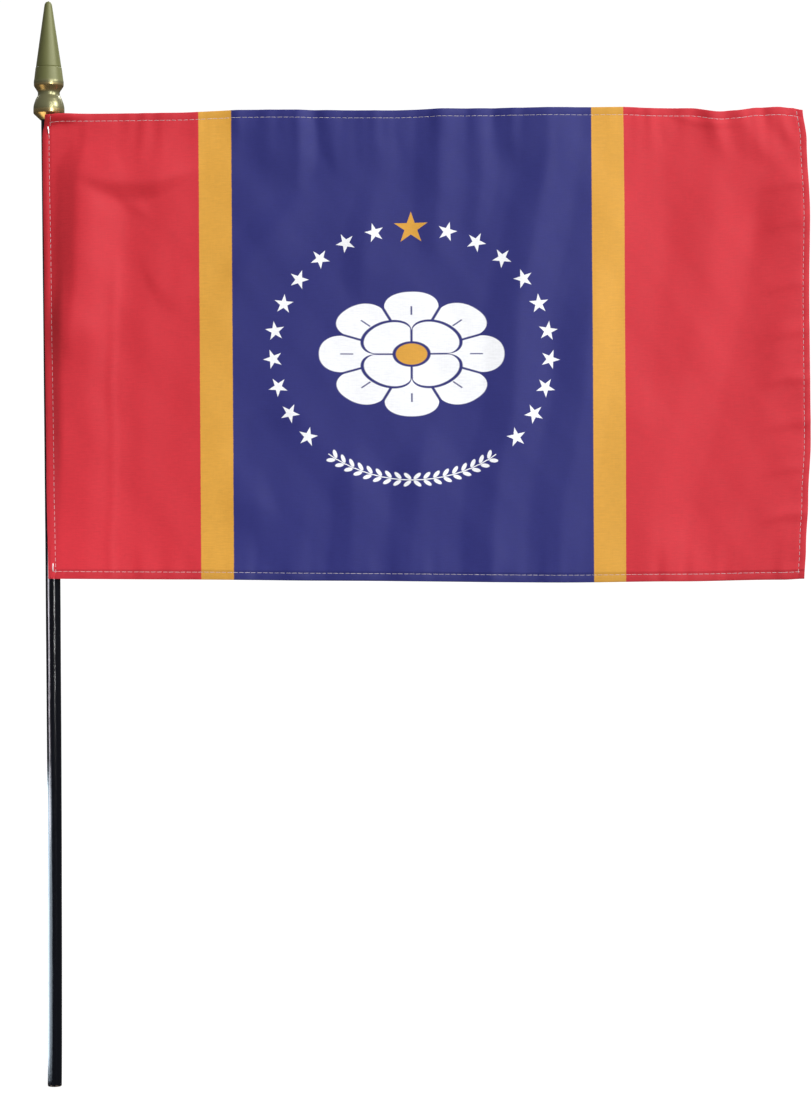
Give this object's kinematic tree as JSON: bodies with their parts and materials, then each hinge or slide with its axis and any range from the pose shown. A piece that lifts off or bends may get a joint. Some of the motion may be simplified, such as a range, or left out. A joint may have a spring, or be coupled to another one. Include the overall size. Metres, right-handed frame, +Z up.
{
  "type": "stick flag",
  "caption": "Hand or desk flag: a hemmed printed cloth flag stapled to a round black staff under a gold spear finial; the staff's bare foot drops into a holder.",
  "frame": {"origin": "centre of the staff's bottom end face", "axes": "+Z up the staff, +X from the hoist to the fly edge of the flag, -Y the way the flag's front faces"},
  "size_m": [0.4635, 0.0196, 0.648],
  "materials": {
    "lacquered_wood": "glossy black lacquer over a wooden dowel",
    "gold_moulding": "moulded plastic with a metallised olive gold coat",
    "printed_cloth": "thin woven polyester, dye printed in red, gold, blue and white",
    "white_thread": "white sewing thread, lockstitch",
    "staple_wire": "flattened bright wire"
  },
  "bodies": {
    "staff": {"staff_dowel": "lacquered_wood", "spear_finial": "gold_moulding", "hoist_hem": "printed_cloth", "hoist_needle_thread": "white_thread", "hoist_bobbin_thread": "white_thread", "top_staple": "staple_wire", "bottom_staple": "staple_wire"},
    "flag": {"flag_cloth": "printed_cloth", "top_hem_needle_thread": "white_thread", "top_hem_bobbin_thread": "white_thread", "bottom_hem_needle_thread": "white_thread", "bottom_hem_bobbin_thread": "white_thread", "fly_hem_needle_thread": "white_thread", "fly_hem_bobbin_thread": "white_thread"}
  },
  "joints": [
    {"name": "flag_swing", "type": "hinge", "parent": "staff", "child": "flag", "pos_m": [0.01, -0.0048, 0.44], "axis": [0, 0, 1], "range_deg": [-90, 90]}
  ]
}
